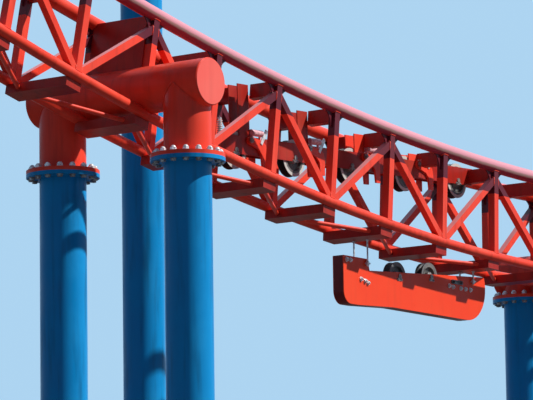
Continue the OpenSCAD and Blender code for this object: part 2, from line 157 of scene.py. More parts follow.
# paint that has chalked in patches, carries grime streaks and shows a few rusty chips
weather = {
    "patchScale": 1.3,
    "patchEdges": (0.4, 0.68),
    "streakScale": (9.0, 9.0, 0.9),
    "streakEdges": (0.46, 0.8),
    "chipScale": 34.0,
    "chipEdges": (0.67, 0.71),
    "rust": (0.085, 0.03, 0.016, 1),
    "roughness": (0.3, 0.5),  # from sound paint to chalk
    "roughEdges": (0.3, 0.75),
    "chipRoughness": 0.4,
    "peelScale": 120.0,
    "peelHeight": 0.35,
}


def makeWeathering():
    tree, take, give = startGroup("weathering", "ShaderNodeTree", [
        ("Position", "NodeSocketVector", None),
        ("Paint", "NodeSocketColor", (0.8, 0.1, 0.05, 1)),
        ("Chalk", "NodeSocketColor", (0.8, 0.3, 0.2, 1)),
        ("Grime", "NodeSocketColor", (0.1, 0.05, 0.04, 1)),
        ("Chalk Amount", "NodeSocketFloat", 0.3),
        ("Grime Amount", "NodeSocketFloat", 0.3),
        ("Chip Amount", "NodeSocketFloat", 0.3),
    ], [
        ("Color", "NodeSocketColor"),
        ("Roughness", "NodeSocketFloat"),
        ("Height", "NodeSocketFloat"),
    ])
    patches = noise(tree, take["Position"], weather["patchScale"], 5.0, 0.6)
    chalk = times(tree, ramp(tree, patches, *weather["patchEdges"]), take["Chalk Amount"])
    stretched = vectorCalc(tree, "MULTIPLY", take["Position"], weather["streakScale"])[0]
    streaks = noise(tree, stretched, 1.0, 3.0)
    grime = times(tree, ramp(tree, streaks, *weather["streakEdges"]), take["Grime Amount"])
    chips = noise(tree, take["Position"], weather["chipScale"], 4.0, 0.65)
    chip = times(tree, ramp(tree, chips, *weather["chipEdges"]), take["Chip Amount"])
    colour = mixColours(tree, chalk, take["Paint"], take["Chalk"])
    colour = mixColours(tree, grime, colour, take["Grime"])
    colour = mixColours(tree, chip, colour, weather["rust"])
    tree.links.new(colour, give["Color"])
    sound, chalked = weather["roughness"]
    rough = ramp(tree, patches, *weather["roughEdges"], chalked, sound)
    rough = calc(tree, "ADD", rough, times(tree, chip, weather["chipRoughness"]))
    tree.links.new(rough, give["Roughness"])
    peel = noise(tree, take["Position"], weather["peelScale"], 2.0)
    height = calc(tree, "SUBTRACT", times(tree, peel, weather["peelHeight"]), chip)
    tree.links.new(height, give["Height"])
    return tree


# a mask that is 1 inside a ring round a line across the track, such as a tread or a rail's top
def makeRingMask():
    tree, take, give = startGroup("ringMask", "ShaderNodeTree", [
        ("Position", "NodeSocketVector", None),
        ("Centre", "NodeSocketVector", (0, 0, 0)),
        ("Inner", "NodeSocketFloat", 0.1),
        ("Outer", "NodeSocketFloat", 0.2),
        ("Softness", "NodeSocketFloat", 0.004),
    ], [("Mask", "NodeSocketFloat")])
    away = vectorCalc(tree, "SUBTRACT", take["Position"], take["Centre"])[0]
    flat = vectorCalc(tree, "MULTIPLY", away, (1.0, 0.0, 1.0))[0]
    reach = vectorCalc(tree, "LENGTH", flat)["Value"]

    def beyond(first, second):
        gap = calc(tree, "SUBTRACT", first, second)
        return ramp(tree, calc(tree, "DIVIDE", gap, take["Softness"]), -1.0, 1.0)

    mask = times(tree, beyond(reach, take["Inner"]), beyond(take["Outer"], reach))
    tree.links.new(mask, give["Mask"])
    return tree


weathering = makeWeathering()
ringMask = makeRingMask()


def weathered(tree, place, look):
    return useGroup(tree, weathering, {"Position": place, **look})


def maskWithin(tree, place, centre, inner, outer, softness):
    return useGroup(tree, ringMask, {
        "Position": place, "Centre": tuple(centre), "Inner": inner, "Outer": outer, "Softness": softness,
    })["Mask"]


def startMaterial(name, **sockets):
    material = bpy.data.materials.new(name)
    material.use_nodes = True
    tree = material.node_tree
    shader = tree.nodes["Principled BSDF"]
    for label, value in sockets.items():
        shader.inputs[label.replace("_", " ")].default_value = value
    place = addNode(tree, "ShaderNodeTexCoord").outputs["Object"]
    return material, tree, shader, place


bumps = {"paint": 0.0006, "zinc": 0.0005, "iron": 0.001, "strength": 0.5}


def dress(tree, shader, colour, roughness, height, kind):
    bump = addNode(tree, "ShaderNodeBump", {
        "Height": height, "Distance": bumps[kind], "Strength": bumps["strength"],
    })
    tree.links.new(colour, shader.inputs["Base Color"])
    tree.links.new(roughness, shader.inputs["Roughness"])
    tree.links.new(bump.outputs[0], shader.inputs["Normal"])


paints = {
    "redPaint": {
        "Paint": (0.9, 0.062, 0.03, 1), "Chalk": (0.95, 0.12, 0.075, 1), "Grime": (0.28, 0.025, 0.015, 1),
        "Chalk Amount": 0.35, "Grime Amount": 0.35, "Chip Amount": 0.25,
    },
    "darkRedPaint": {
        "Paint": (0.4, 0.02, 0.013, 1), "Chalk": (0.5, 0.06, 0.035, 1), "Grime": (0.12, 0.025, 0.014, 1),
        "Chalk Amount": 0.5, "Grime Amount": 0.6, "Chip Amount": 0.5,
    },
    "housingPaint": {
        "Paint": (0.93, 0.06, 0.014, 1), "Chalk": (0.95, 0.1, 0.04, 1), "Grime": (0.28, 0.025, 0.015, 1),
        "Chalk Amount": 0.3, "Grime Amount": 0.1, "Chip Amount": 0.2,
    },
    "rimPaint": {
        "Paint": (0.16, 0.011, 0.014, 1), "Chalk": (0.3, 0.03, 0.02, 1), "Grime": (0.05, 0.01, 0.012, 1),
        "Chalk Amount": 0.4, "Grime Amount": 0.6, "Chip Amount": 0.4,
    },
    "capPaint": {
        "Paint": (0.95, 0.14, 0.11, 1), "Chalk": (0.95, 0.19, 0.15, 1), "Grime": (0.5, 0.06, 0.05, 1),
        "Chalk Amount": 0.4, "Grime Amount": 0.15, "Chip Amount": 0.1,
    },
    "bluePaint": {
        "Paint": (0.002, 0.27, 0.64, 1), "Chalk": (0.003, 0.36, 0.76, 1), "Grime": (0.003, 0.1, 0.23, 1),
        "Chalk Amount": 0.4, "Grime Amount": 0.6, "Chip Amount": 0.15,
    },
}
paintShine = 0.2
railShine = 0.25


def makePaint(name, look):
    material, tree, shader, place = startMaterial(name, Specular_IOR_Level=paintShine)
    coat = weathered(tree, place, look)
    dress(tree, shader, coat["Color"], coat["Roughness"], coat["Height"], "paint")
    return material


# the outer half of a rail has a painted highlight on top, a tan stripe beside that and painted shade
# below, and the inner half has the painted highlight at the very top alone
railLook = {
    "paintedHighlight": (0.75, 0.31, 0.38, 1),
    "paintedHighlightShare": 0.9,
    "highlightAbove": -0.016,  # heights from the rail's centre
    "innerAbove": 0.066,
    "highlightSoftness": 0.012,
    "tanStripe": (0.42, 0.27, 0.24, 1),
    "tanStripeShare": 0.85,
    "tanStripeAbove": -0.052,
    "tanStripeSoftness": 0.01,
    "paintedShade": (0.42, 0.03, 0.062, 1),
    "paintedShadeShare": 0.92,
    "halfSoftness": 0.01,
    "waverScale": 6.0,
    "waver": 0.03,
}


def makeRailPaint(look):
    material, tree, shader, place = startMaterial("railPaint", Specular_IOR_Level=railShine)
    coat = weathered(tree, place, look)
    radius = track["curve"] - track["height"] / 2
    waver = times(tree, noise(tree, place, railLook["waverScale"], 5.0, 0.6), railLook["waver"])

    def above(height, softness):
        edge = calc(tree, "ADD", waver, radius - railLook["waver"] / 2 - height)
        return maskWithin(tree, place, curveCentre, 0.0, edge, softness)

    fromMiddle = calc(tree, "SUBTRACT", separated(tree, place, "Y"), track["side"])
    rim = track["width"] / 2
    soft = railLook["halfSoftness"]
    outside = ramp(tree, calc(tree, "ABSOLUTE", fromMiddle), rim - soft, rim + soft)
    inside = calc(tree, "SUBTRACT", 1.0, outside)
    tanStripe = times(tree, above(railLook["tanStripeAbove"], railLook["tanStripeSoftness"]), outside)
    outerTop = times(tree, above(railLook["highlightAbove"], railLook["highlightSoftness"]), outside)
    innerTop = times(tree, above(railLook["innerAbove"], railLook["highlightSoftness"]), inside)
    paintedHighlight = calc(tree, "MAXIMUM", outerTop, innerTop)
    colour = coat["Color"]
    # painted shade on the outer half, then the tan stripe, then the painted highlight on top
    for mask, name in ((outside, "paintedShade"), (tanStripe, "tanStripe"), (paintedHighlight, "paintedHighlight")):
        colour = mixColours(tree, times(tree, mask, railLook[name + "Share"]), colour, railLook[name])
    dress(tree, shader, colour, coat["Roughness"], coat["Height"], "paint")
    return material


# the lattice is darkened with painted shade down to a line that follows each rail, and below that line
# its upward faces are lightened with a painted highlight
webLook = {
    "below": 0.42,  # from the rail's centre down to that line
    "softness": 0.004,
    "paintedHighlight": (0.85, 0.4, 0.4, 1),
    "paintedHighlightShare": 0.65,
    "upward": (0.5, 0.65),
}
# the dark coat for the painted shade below the rails
paintedShadeLook = {
    "Paint": (0.125, 0.013, 0.024, 1), "Chalk": (0.21, 0.028, 0.035, 1), "Grime": (0.06, 0.01, 0.014, 1),
    "Chalk Amount": 0.4, "Grime Amount": 0.4, "Chip Amount": 0.3,
}


def makeWebPaint(clean, paintedShade):
    material, tree, shader, place = startMaterial("webPaint", Specular_IOR_Level=paintShine)
    low = weathered(tree, place, clean)
    high = weathered(tree, place, paintedShade)
    edge = track["curve"] - track["height"] / 2 + webLook["below"]
    share = maskWithin(tree, place, curveCentre, 0.0, edge, webLook["softness"])
    facing = separated(tree, addNode(tree, "ShaderNodeTexCoord").outputs["Normal"], "Z")
    # upward faces lightened as a painted highlight
    upward = ramp(tree, facing, *webLook["upward"], webLook["paintedHighlightShare"])
    paintedHighlight = mixColours(tree, upward, low["Color"], webLook["paintedHighlight"])
    colour = mixColours(tree, share, paintedHighlight, high["Color"])
    dress(tree, shader, colour, low["Roughness"], low["Height"], "paint")
    return material


# the ears of the sheave beam, above its plates, are red towards the downhill end and keep the plates' dark
# red uphill of that as painted shade
beamLine = {
    "start": (2.427, 1.099, 9.027),
    "rise": 2.4,  # degrees
    "plateTop": 0.2,
    "plateSoftness": 0.004,
    "shadeEndsAt": 4.7,
    "shadeEndSoftness": 0.05,
}


def beamAxes():
    # along the beam, and square to it
    turn = math.radians(beamLine["rise"])
    return Vector((math.cos(turn), 0, math.sin(turn))), Vector((-math.sin(turn), 0, math.cos(turn)))


def makeBeamPaint(plates, ears):
    material, tree, shader, place = startMaterial("beamPaint", Specular_IOR_Level=paintShine)
    low = weathered(tree, place, plates)
    high = weathered(tree, place, ears)
    away = vectorCalc(tree, "SUBTRACT", place, beamLine["start"])[0]
    height = vectorCalc(tree, "DOT_PRODUCT", away, tuple(beamAxes()[1]))["Value"]

    def past(value, edge, softness):
        return ramp(tree, value, edge - softness, edge + softness)

    overPlates = past(height, beamLine["plateTop"], beamLine["plateSoftness"])
    pastShade = past(separated(tree, place, "X"), beamLine["shadeEndsAt"], beamLine["shadeEndSoftness"])
    # uphill ears keep the plates' dark red as painted shade
    colour = mixColours(tree, times(tree, overPlates, pastShade), low["Color"], high["Color"])
    dress(tree, shader, colour, low["Roughness"], low["Height"], "paint")
    return material


# metal with dull blooms, for nuts, studs, rods, bars, small plates, axles and cylinders
metals = {
    "zinc": {"bright": (0.8, 0.82, 0.82, 1), "dull": (0.5, 0.52, 0.53, 1), "metallic": 0.25},
    "dullZinc": {"bright": (0.36, 0.33, 0.31, 1), "dull": (0.17, 0.15, 0.14, 1), "metallic": 0.3},
    "paleSteel": {"bright": (0.86, 0.5, 0.54, 1), "dull": (0.6, 0.3, 0.33, 1), "metallic": 0.1},
    "darkSteel": {"bright": (0.12, 0.12, 0.12, 1), "dull": (0.05, 0.045, 0.04, 1), "metallic": 0.5},
}
blooms = {"scale": 26.0, "edges": (0.38, 0.66), "roughEdges": (0.3, 0.7), "roughness": (0.28, 0.55)}


def makeMetal(name, bright, dull, metallic):
    material, tree, shader, place = startMaterial(name, Metallic=metallic)
    bloom = noise(tree, place, blooms["scale"], 4.0)
    colour = mixColours(tree, ramp(tree, bloom, *blooms["edges"]), bright, dull)
    smooth, rough = blooms["roughness"]
    roughness = ramp(tree, bloom, *blooms["roughEdges"], rough, smooth)
    dress(tree, shader, colour, roughness, bloom, "zinc")
    return material


# a sheave is a dirty disc with a paler hub, a dark tread and a pale flange, which is darkened as painted
# shade on the two low ones
sheaveLook = {
    "disc": (0.2, 0.2, 0.19, 1),
    "dirt": (0.06, 0.055, 0.05, 1),
    "flange": (0.62, 0.62, 0.58, 1),
    "lowFlangeShade": (0.17, 0.17, 0.17, 1),
    "tread": (0.006, 0.006, 0.008, 1),
    "hub": (0.33, 0.32, 0.3, 1),
    "shine": 0.3,
    "dirtScale": 15.0,
    "dirtEdges": (0.36, 0.66),
    "roughEdges": (0.3, 0.7),
    "roughness": (0.62, 0.35),
    "softness": 0.003,
    "treadStops": (0.006, 0.002),  # from each side face inwards
}
# inner and outer edge as shares of the sheave's radius, colour and strength
sheaveRings = ((0.0, 0.31, "hub", 0.8), (0.83, 1.2, "flange", 0.92), (0.78, 1.2, "tread", 1.0))


def makeSheaveIron(node):
    look = sheaveLook
    low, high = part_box(node)
    centre = (low + high) / 2
    radius = (high.x - low.x) / 2
    halfWidth = (high.y - low.y) / 2
    material, tree, shader, place = startMaterial("sheaveIron_" + node, Specular_IOR_Level=look["shine"])
    soil = noise(tree, place, look["dirtScale"], 5.0, 0.6)
    colour = mixColours(tree, ramp(tree, soil, *look["dirtEdges"]), look["disc"], look["dirt"])
    offMiddle = calc(tree, "ABSOLUTE", calc(tree, "SUBTRACT", separated(tree, place, "Y"), centre.y))
    deep, shallow = look["treadStops"]
    betweenFaces = ramp(tree, offMiddle, halfWidth - deep, halfWidth - shallow, 0.0, 1.0)
    for inner, outer, part, strength in sheaveRings:
        mask = maskWithin(tree, place, centre, radius * inner, radius * outer, look["softness"])
        share = times(tree, mask, betweenFaces if part == "tread" else strength)
        # the two low sheaves' flanges take a dark colour as painted shade
        shade = "lowFlangeShade" if part == "flange" and node.startswith("low") else part
        colour = mixColours(tree, share, colour, look[shade])
    dull, polished = look["roughness"]
    roughness = ramp(tree, soil, *look["roughEdges"], polished, dull)
    dress(tree, shader, colour, roughness, soil, "iron")
    return material


materials = {name: makePaint(name, look) for name, look in paints.items()}
materials.update({name: makeMetal(name, **look) for name, look in metals.items()})
materials["railPaint"] = makeRailPaint(paints["redPaint"])
materials["webPaint"] = makeWebPaint(paints["redPaint"], paintedShadeLook)
materials["beamPaint"] = makeBeamPaint(paints["darkRedPaint"], paints["redPaint"])

# what a node is finished in, by its name or by how it ends; columns are blue and the rest is red
nodeFinishes = {
    "feet": "bluePaint",
    "top_ties": "darkRedPaint",
    "bottom_ties": "darkRedPaint",
    "saddle": "darkRedPaint",
    "sheave_beam": "beamPaint",
    "sheave_axles": "dullZinc",
    "lever_cylinders": "paleSteel",
    "lever_bars": "zinc",
    "housing_hangers": "zinc",
    "housing_rim": "rimPaint",
    "housing_near_plate": "housingPaint",
    "housing_far_plate": "housingPaint",
    "crosshead_caps": "capPaint",
}
endFinishes = {"rail": "railPaint", "web": "webPaint", "gussets": "webPaint"}


def isSheave(name):
    return name.startswith(("sheave_", "low_sheave_")) and name[-1].isdigit()


def finishFor(name):
    if isSheave(name):
        return makeSheaveIron(name)
    if name in nodeFinishes:
        return materials[nodeFinishes[name]]
    if "column" in name:
        return materials["bluePaint"]
    for ending, finish in endFinishes.items():
        if name.endswith(ending):
            return materials[finish]
    return materials["redPaint"]


for name in nodes:
    part = nodes[name]
    finish = finishFor(name)
    if not part.material_slots:
        part.data.materials.append(finish)
    for place in part.material_slots:
        place.material = finish
print("materials:", len(bpy.data.materials))


# each piece is made by a node tree from loose points or closed lines, and kept as a plain mesh
def addModifier(piece, tree, values):
    modifier = piece.modifiers.new(tree.name, "NODES")
    modifier.node_group = tree
    for item in tree.interface.items_tree:
        if item.item_type == "SOCKET" and item.in_out == "INPUT" and item.name in values:
            modifier[item.identifier] = values[item.name]


def bakePiece(name, source, tree, values, finish, body="structure"):
    holder = bpy.data.objects.new(name + "_source", source)
    scene.collection.objects.link(holder)
    addModifier(holder, tree, {**values, "Material": materials[finish]})
    bpy.context.view_layer.update()
    evaluated = holder.evaluated_get(bpy.context.evaluated_depsgraph_get())
    made = bpy.data.meshes.new_from_object(evaluated)
    bpy.data.objects.remove(holder)
    made.name = name
    piece = bpy.data.objects.new(name, made)
    scene.collection.objects.link(piece)
    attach(piece, body)
    print("piece:", name, len(made.polygons), "faces")


def pointMesh(name, places, aims):
    # loose points, each with the direction that its bolt or plate faces
    mesh = bpy.data.meshes.new(name)
    mesh.from_pydata([tuple(place) for place in places], [], [])
    aim = mesh.attributes.new("aim", "FLOAT_VECTOR", "POINT")
    for i, direction in enumerate(aims):
        aim.data[i].vector = direction
    return mesh


def lineMesh(name, loops):
    mesh = bpy.data.meshes.new(name)
    points = []
    edges = []
    for loop in loops:
        start = len(points)
        count = len(loop)
        points += [tuple(point) for point in loop]
        edges += [(start + i, start + (i + 1) % count) for i in range(count)]
    mesh.from_pydata(points, edges, [])
    return mesh


meshOut = [("Geometry", "NodeSocketGeometry")]


def endTree(tree, geometry, material, give):
    real = addNode(tree, "GeometryNodeRealizeInstances", {0: geometry})
    painted = addNode(tree, "GeometryNodeSetMaterial", {"Geometry": real.outputs[0], "Material": material})
    tree.links.new(painted.outputs[0], give["Geometry"])


# a nut on a washer with its domed stud through, facing along the point's aim
boltTakes = [
    ("Geometry", "NodeSocketGeometry", None),
    ("Nut Radius", "NodeSocketFloat", 0.03),
    ("Nut Height", "NodeSocketFloat", 0.03),
    ("Washer Radius", "NodeSocketFloat", 0.035),
    ("Washer Height", "NodeSocketFloat", 0.006),
    ("Stud Radius", "NodeSocketFloat", 0.015),
    ("Stud Height", "NodeSocketFloat", 0.05),
    ("Dome Radius", "NodeSocketFloat", 0.015),
    ("Seed", "NodeSocketInt", 1),
    ("Material", "NodeSocketMaterial", None),
]
boltShape = {
    "washerSides": 14,
    "washerBase": -0.0005,
    "nutSides": 6,
    "nutSink": 0.001,  # into the washer
    "studSides": 10,
    "studBase": 0.002,
    "domeSegments": 10,
    "domeRings": 6,
    "domeScale": (1.0, 1.0, 0.8),
}


def shiftUp(tree, geometry, height, scale=(1.0, 1.0, 1.0)):
    return addNode(tree, "GeometryNodeTransform", {
        "Geometry": geometry, "Translation": combined(tree, Z=height), "Scale": scale,
    }).outputs[0]


def prism(tree, sides, radius, height, base):
    body = addNode(tree, "GeometryNodeMeshCylinder", {"Vertices": sides, "Radius": radius, "Depth": height})
    return shiftUp(tree, body.outputs["Mesh"], calc(tree, "ADD", times(tree, height, 0.5), base))


def joined(tree, parts):
    join = addNode(tree, "GeometryNodeJoinGeometry")
    for part in parts:
        tree.links.new(part, join.inputs[0])
    return join.outputs[0]


def boltParts(tree, take):
    shape = boltShape
    dome = addNode(tree, "GeometryNodeMeshUVSphere", {
        "Segments": shape["domeSegments"], "Rings": shape["domeRings"], "Radius": take["Dome Radius"],
    }).outputs["Mesh"]
    nutBase = calc(tree, "SUBTRACT", take["Washer Height"], shape["nutSink"])
    return joined(tree, (
        prism(tree, shape["washerSides"], take["Washer Radius"], take["Washer Height"], shape["washerBase"]),
        prism(tree, shape["nutSides"], take["Nut Radius"], take["Nut Height"], nutBase),
        prism(tree, shape["studSides"], take["Stud Radius"], take["Stud Height"], shape["studBase"]),
        shiftUp(tree, dome, take["Stud Height"], shape["domeScale"]),
    ))


def placeOn(tree, points, instance, rotation):
    return addNode(tree, "GeometryNodeInstanceOnPoints", {
        "Points": points, "Instance": instance, "Rotation": rotation,
    }).outputs[0]


def facingAim(tree, points, instance):
    aim = addNode(tree, "GeometryNodeInputNamedAttribute", {"Name": "aim"}, data_type="FLOAT_VECTOR")
    facing = addNode(tree, "FunctionNodeAlignRotationToVector", {"Vector": aim.outputs[0]}, axis="Z")
    return placeOn(tree, points, instance, facing.outputs[0])


def looseTurn(tree, seed):
    # each nut is left at its own angle, up to a full turn
    loose = addNode(tree, "FunctionNodeRandomValue", {"Seed": seed, 2: 0.0, 3: 6.283}, data_type="FLOAT")
    return combined(tree, Z=loose.outputs[1])


def makeBoltRing():
    tree, take, give = startGroup("boltRing", "GeometryNodeTree", boltTakes + [
        ("Count", "NodeSocketInt", 8),
        ("Ring Radius", "NodeSocketFloat", 0.4),
        ("First Turn", "NodeSocketFloat", 0.0),
    ], meshOut)
    ring = addNode(tree, "GeometryNodeMeshCircle", {"Vertices": take["Count"], "Radius": take["Ring Radius"]})
    turned = addNode(tree, "GeometryNodeTransform", {
        "Geometry": ring.outputs[0], "Rotation": combined(tree, Z=take["First Turn"]),
    })
    bolts = placeOn(tree, turned.outputs[0], boltParts(tree, take), looseTurn(tree, take["Seed"]))
    endTree(tree, facingAim(tree, take["Geometry"], bolts), take["Material"], give)
    return tree


def makeBoltSpots():
    tree, take, give = startGroup("boltSpots", "GeometryNodeTree", boltTakes, meshOut)
    spots = facingAim(tree, take["Geometry"], boltParts(tree, take))
    turned = addNode(tree, "GeometryNodeRotateInstances", {
        "Instances": spots, "Rotation": looseTurn(tree, take["Seed"]),
    })
    endTree(tree, turned.outputs[0], take["Material"], give)
    return tree


# a flat bar with rounded corners and a bolt near each end, its long side level
def makeKeeper():
    tree, take, give = startGroup("keeper", "GeometryNodeTree", boltTakes + [
        ("Length", "NodeSocketFloat", 0.12),
        ("Width", "NodeSocketFloat", 0.035),
        ("Thickness", "NodeSocketFloat", 0.008),
        ("Corner", "NodeSocketFloat", 0.008),
        ("Bolt Gap", "NodeSocketFloat", 0.08),
    ], meshOut)
    outline = addNode(tree, "GeometryNodeCurvePrimitiveQuadrilateral", {
        "Width": take["Length"], "Height": take["Width"],
    })
    rounded = addNode(tree, "GeometryNodeFilletCurve", {
        "Curve": outline.outputs[0], "Radius": take["Corner"], "Count": 3,
    }, mode="POLY")
    face = addNode(tree, "GeometryNodeFillCurve", {"Curve": rounded.outputs[0]}, mode="NGONS").outputs[0]
    block = addNode(tree, "GeometryNodeExtrudeMesh", {"Mesh": face, "Offset Scale": take["Thickness"]})
    back = addNode(tree, "GeometryNodeFlipFaces", {"Mesh": face})
    row = addNode(tree, "GeometryNodeMeshLine", {
        "Count": 2,
        "Start Location": combined(tree, X=times(tree, take["Bolt Gap"], -0.5), Z=take["Thickness"]),
        "Offset": combined(tree, X=take["Bolt Gap"]),
    }, mode="OFFSET")
    bolts = placeOn(tree, row.outputs[0], boltParts(tree, take), looseTurn(tree, take["Seed"]))
    plate = joined(tree, (block.outputs[0], back.outputs[0], bolts))
    endTree(tree, facingAim(tree, take["Geometry"], plate), take["Material"], give)
    return tree


# a rod with a stack of dished washers on it and a nut on top
def makeSpringStack():
    tree, take, give = startGroup("springStack", "GeometryNodeTree", boltTakes + [
        ("Count", "NodeSocketInt", 6),
        ("Step", "NodeSocketFloat", 0.025),
        ("Disc Radius", "NodeSocketFloat", 0.035),
        ("Disc Height", "NodeSocketFloat", 0.012),
        ("Disc Sides", "NodeSocketInt", 20),
        ("Top Share", "NodeSocketFloat", 0.7),
        ("Rod Sides", "NodeSocketInt", 12),
        ("Rod Base", "NodeSocketFloat", -0.004),
    ], meshOut)
    disc = addNode(tree, "GeometryNodeMeshCone", {
        "Vertices": take["Disc Sides"],
        "Radius Top": times(tree, take["Disc Radius"], take["Top Share"]),
        "Radius Bottom": take["Disc Radius"],
        "Depth": take["Disc Height"],
    })
    row = addNode(tree, "GeometryNodeMeshLine", {
        "Count": take["Count"], "Offset": combined(tree, Z=take["Step"]),
    }, mode="OFFSET")
    discs = addNode(tree, "GeometryNodeInstanceOnPoints", {
        "Points": row.outputs[0], "Instance": disc.outputs[0],
    })
    top = times(tree, take["Count"], take["Step"])
    rod = prism(tree, take["Rod Sides"], take["Stud Radius"], top, take["Rod Base"])
    stack = joined(tree, (discs.outputs[0], rod, shiftUp(tree, boltParts(tree, take), top)))
    endTree(tree, facingAim(tree, take["Geometry"], stack), take["Material"], give)
    return tree


# a rippled weld bead along each line
def makeWeldBead():
    tree, take, give = startGroup("weldBead", "GeometryNodeTree", [
        ("Geometry", "NodeSocketGeometry", None),
        ("Bead Radius", "NodeSocketFloat", 0.01),
        ("Bead Sides", "NodeSocketInt", 6),
        ("Step", "NodeSocketFloat", 0.03),
        ("Ripple", "NodeSocketFloat", 0.25),
        ("Seed", "NodeSocketInt", 1),
        ("Material", "NodeSocketMaterial", None),
    ], meshOut)
    line = addNode(tree, "GeometryNodeMeshToCurve", {"Mesh": take["Geometry"]})
    even = addNode(tree, "GeometryNodeResampleCurve", {
        "Curve": line.outputs[0], "Length": take["Step"],
    }, mode="LENGTH")
    uneven = addNode(tree, "FunctionNodeRandomValue", {
        "Seed": take["Seed"], 2: calc(tree, "SUBTRACT", 1.0, take["Ripple"]), 3: 1.0,
    }, data_type="FLOAT")
    sized = addNode(tree, "GeometryNodeSetCurveRadius", {
        "Curve": even.outputs[0], "Radius": uneven.outputs[1],
    })
    profile = addNode(tree, "GeometryNodeCurvePrimitiveCircle", {
        "Resolution": take["Bead Sides"], "Radius": take["Bead Radius"],
    })
    swept = addNode(tree, "GeometryNodeCurveToMesh", {
        "Curve": sized.outputs[0], "Profile Curve": profile.outputs[0], "Fill Caps": True,
    })
    endTree(tree, swept.outputs[0], take["Material"], give)
    return tree


boltRing = makeBoltRing()
boltSpots = makeBoltSpots()
keeper = makeKeeper()
springStack = makeSpringStack()
weldBead = makeWeldBead()

columns = ["near_column_1", "far_column_1", "near_column_2", "far_column_2"]
allColumns = columns + ["tall_column"]
up = (0.0, 0.0, 1.0)
down = (0.0, 0.0, -1.0)
bothSides = [(0, -1, 0), (0, 1, 0)]
flange = 0.05  # thickness of a seam flange
basePlate = 0.05

# capped nuts above the four bolted seams and flat heads below them
seamRing = {"Count": 16, "Ring Radius": 0.415, "First Turn": 0.1963}
seamNuts = {
    **seamRing, "Seed": 3, "Nut Radius": 0.042, "Nut Height": 0.03, "Washer Radius": 0.048,
    "Washer Height": 0.008, "Stud Radius": 0.03, "Stud Height": 0.038, "Dome Radius": 0.034,
}
seamHeads = {
    **seamRing, "Seed": 4, "Nut Radius": 0.036, "Nut Height": 0.026, "Washer Radius": 0.044,
    "Washer Height": 0.008, "Stud Radius": 0.014, "Stud Height": 0.028, "Dome Radius": 0.014,
}
seams = [onAxis(column, topOf(column)) for column in columns]
seamTops = [seam + Vector((0, 0, flange)) for seam in seams]
seamUndersides = [seam - Vector((0, 0, flange)) for seam in seams]
bakePiece("seamNuts", pointMesh("seamTops", seamTops, [up] * len(seams)), boltRing, seamNuts,
          "zinc")
# the heads below the seams take the darker zinc as painted shade under the flanges
bakePiece("seamHeads", pointMesh("seamUndersides", seamUndersides, [down] * len(seams)), boltRing, seamHeads,
          "dullZinc")

# anchor nuts on the five feet
anchorNuts = {
    "Count": 8, "Ring Radius": 0.45, "First Turn": 0.3927, "Seed": 5, "Nut Radius": 0.035,
    "Nut Height": 0.034, "Washer Radius": 0.045, "Washer Height": 0.008, "Stud Radius": 0.019,
    "Stud Height": 0.1, "Dome Radius": 0.019,
}
feet = [onAxis(column, basePlate) for column in allColumns]
bakePiece("anchorNuts", pointMesh("feet", feet, [up] * len(feet)), boltRing, anchorNuts,
          "zinc")

# weld beads round the pipes, at their end discs, and where posts and diagonals end
pipeBead = {"Bead Radius": 0.009, "Bead Sides": 6, "Step": 0.028, "Ripple": 0.3}
tubeBead = {"Bead Radius": 0.007, "Bead Sides": 6, "Step": 0.03, "Ripple": 0.3}
weldLines = {
    "pipe": 0.308,  # radius of a bead's line round a column, stub or crosshead
    "pipeEnd": 0.295,
    "pipePoints": 48,
    "saddlePoints": 64,
    "postSteps": 4,  # along each side of a post
    "postWider": 0.006,  # how much wider a bead's line is than the post it goes round
    "diagonalWider": 0.004,
    "pipeProud": 0.002,  # how far it lies outside the pipe or the post's face
    "faceProud": 0.002,
}


def circleAt(centre, radius, axis="Z"):
    loop = []
    for i in range(weldLines["pipePoints"]):
        angle = 2 * math.pi * i / weldLines["pipePoints"]
        first = radius * math.cos(angle)
        second = radius * math.sin(angle)
        loop.append(centre + Vector((first, second, 0) if axis == "Z" else (first, 0, second)))
    return loop


def saddleAt(centre, radius):
    # where an upright pipe runs into a level one of the same size
    loop = []
    for i in range(weldLines["saddlePoints"]):
        angle = 2 * math.pi * i / weldLines["saddlePoints"]
        along = radius * math.cos(angle)
        across = radius * math.sin(angle)
        loop.append(Vector((centre.x + along, centre.y + across, centre.z - abs(across))))
    return loop


columnLoops = []
for column in allColumns:
    for height in (topOf(column) - flange, basePlate):
        columnLoops.append(circleAt(onAxis(column, height), weldLines["pipe"]))
bakePiece("columnWelds", lineMesh("columnLoops", columnLoops), weldBead, {**pipeBead, "Seed": 6},
          "bluePaint")

pipeLoops = []
for column in columns:
    crosshead = "crosshead_" + column[-1]
    pipeLoops.append(circleAt(onAxis(column, topOf(column) + flange), weldLines["pipe"]))
    pipeLoops.append(saddleAt(onAxis(column, middleOf(crosshead).z), weldLines["pipe"]))
for crosshead in ("crosshead_1", "crosshead_2"):
    middle = middleOf(crosshead)
    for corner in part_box(crosshead):
        pipeLoops.append(circleAt(Vector((middle.x, corner.y, middle.z)), weldLines["pipeEnd"], axis="Y"))
bakePiece("pipeWelds", lineMesh("pipeLoops", pipeLoops), weldBead, {**pipeBead, "Seed": 7},
          "redPaint")


def postLoop(y, size, radius, height):
    # where a square post meets a round pipe whose centre is at this height
    corners = [(-1, -1), (1, -1), (1, 1), (-1, 1)]
    steps = weldLines["postSteps"]
    loop = []
    for (along0, across0), (along1, across1) in zip(corners, corners[1:] + corners[:1]):
        for step in range(steps):
            along = (along0 + (along1 - along0) * step / steps) * size / 2
            across = (across0 + (across1 - across0) * step / steps) * size / 2
            level = height - math.copysign(math.sqrt(radius ** 2 - across ** 2), height)
            loop.append((-along, y + across, level))
    return loop


